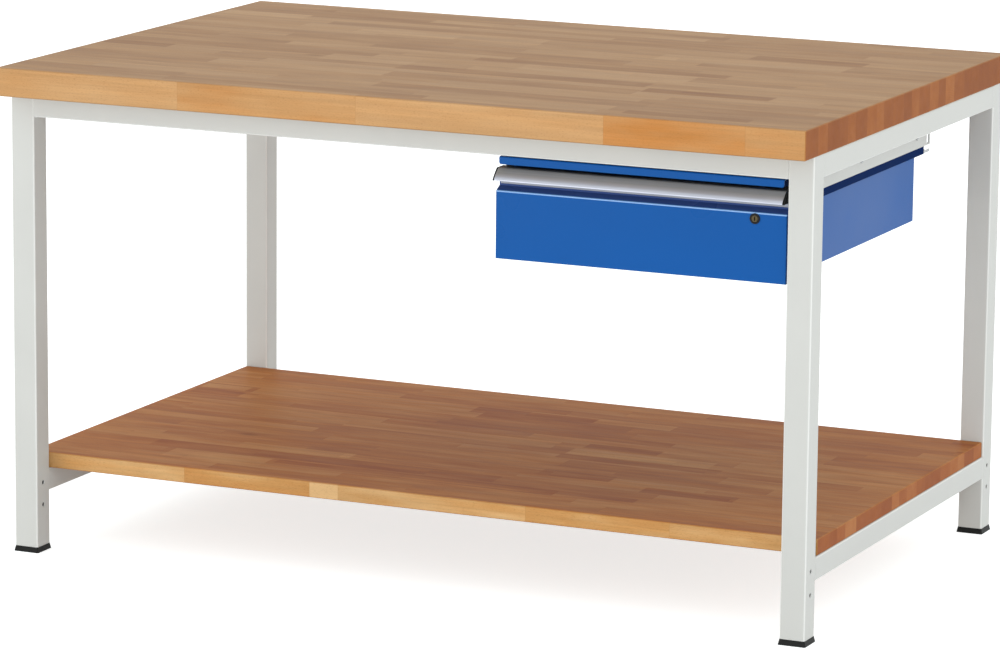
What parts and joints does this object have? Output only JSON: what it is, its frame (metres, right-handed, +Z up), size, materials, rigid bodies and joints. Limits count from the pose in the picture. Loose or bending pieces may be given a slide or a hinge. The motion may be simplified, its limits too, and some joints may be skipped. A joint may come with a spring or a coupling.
{
  "type": "workbench",
  "caption": "Workbench with a square tube frame, thick beech top, lower shelf board and a lockable sheet-metal drawer hung on ball-bearing telescopic slides.",
  "frame": {"origin": "on the floor, under the middle of the bench", "axes": "+X along the bench to the right as the user faces it, -Y towards the user, where the drawer opens, +Z up"},
  "size_m": [1.5, 1, 0.87],
  "materials": {
    "beech": "oiled",
    "frame_grey": "powder coat, fine satin",
    "drawer_blue": "powder coat, satin",
    "hanger_grey": "powder coat, satin",
    "black_plastic": "moulded, fine matt",
    "grip_aluminium": "anodised, drawn along its length",
    "zinc_steel": "bright zinc plated",
    "lock_black": "black, satin",
    "lock_brass": "plain turned"
  },
  "bodies": {
    "frame": {"bench_top": "beech", "shelf_board": "beech", "front_left_leg": "frame_grey", "front_right_leg": "frame_grey", "back_left_leg": "frame_grey", "back_right_leg": "frame_grey", "front_left_foot": "black_plastic", "front_right_foot": "black_plastic", "back_left_foot": "black_plastic", "back_right_foot": "black_plastic", "front_rail": "frame_grey", "back_rail": "frame_grey", "left_upper_rail": "frame_grey", "right_upper_rail": "frame_grey", "left_lower_rail": "frame_grey", "right_lower_rail": "frame_grey", "top_screws": "zinc_steel", "shelf_screws": "zinc_steel", "left_hanger": "hanger_grey", "right_hanger": "hanger_grey", "hanger_screws": "zinc_steel", "drawer_housing": "drawer_blue", "housing_bolts": "zinc_steel", "housing_nuts": "zinc_steel", "lock_strike": "drawer_blue", "left_outer_slide": "zinc_steel", "right_outer_slide": "zinc_steel", "housing_strip": "drawer_blue"},
    "drawer": {"left_drawer_side": "drawer_blue", "right_drawer_side": "drawer_blue", "drawer_bottom": "drawer_blue", "drawer_front_wall": "drawer_blue", "drawer_back_wall": "drawer_blue", "drawer_front": "drawer_blue", "front_screws": "zinc_steel", "slide_screws": "zinc_steel", "grip_strip": "grip_aluminium", "left_grip_cap": "black_plastic", "right_grip_cap": "black_plastic", "grip_rivets": "grip_aluminium", "lock_barrel": "lock_black", "lock_clip": "zinc_steel", "left_inner_slide": "zinc_steel", "right_inner_slide": "zinc_steel"},
    "left_middle": {"left_middle_slide": "zinc_steel"},
    "right_middle": {"right_middle_slide": "zinc_steel"},
    "left_outer_balls": {"left_outer_cage": "zinc_steel"},
    "right_outer_balls": {"right_outer_cage": "zinc_steel"},
    "left_inner_balls": {"left_inner_cage": "zinc_steel"},
    "right_inner_balls": {"right_inner_cage": "zinc_steel"},
    "lock": {"lock_plug": "lock_brass", "lock_cam": "zinc_steel", "cam_screw": "zinc_steel"}
  },
  "joints": [
    {"name": "drawer_slide", "type": "slide", "parent": "frame", "child": "drawer", "axis": [0, -1, 0], "range_m": [0, 0.6]},
    {"name": "left_middle_slide", "type": "slide", "parent": "frame", "child": "left_middle", "axis": [0, -1, 0], "range_m": [0, 0.3]},
    {"name": "left_outer_balls_slide", "type": "slide", "parent": "frame", "child": "left_outer_balls", "axis": [0, -1, 0], "range_m": [0, 0.15]},
    {"name": "left_inner_balls_slide", "type": "slide", "parent": "frame", "child": "left_inner_balls", "axis": [0, -1, 0], "range_m": [0, 0.45]},
    {"name": "right_middle_slide", "type": "slide", "parent": "frame", "child": "right_middle", "axis": [0, -1, 0], "range_m": [0, 0.3]},
    {"name": "right_outer_balls_slide", "type": "slide", "parent": "frame", "child": "right_outer_balls", "axis": [0, -1, 0], "range_m": [0, 0.15]},
    {"name": "right_inner_balls_slide", "type": "slide", "parent": "frame", "child": "right_inner_balls", "axis": [0, -1, 0], "range_m": [0, 0.45]},
    {"name": "lock_turn", "type": "hinge", "parent": "drawer", "child": "lock", "pos_m": [0.642, -0.442, 0.709], "axis": [0, 1, 0], "range_deg": [0, 90]}
  ],
  "couplings": [
    {"joint": "left_middle_slide", "follows": "drawer_slide", "ratio": 0.5},
    {"joint": "left_outer_balls_slide", "follows": "drawer_slide", "ratio": 0.25},
    {"joint": "left_inner_balls_slide", "follows": "drawer_slide", "ratio": 0.75},
    {"joint": "right_middle_slide", "follows": "drawer_slide", "ratio": 0.5},
    {"joint": "right_outer_balls_slide", "follows": "drawer_slide", "ratio": 0.25},
    {"joint": "right_inner_balls_slide", "follows": "drawer_slide", "ratio": 0.75}
  ]
}
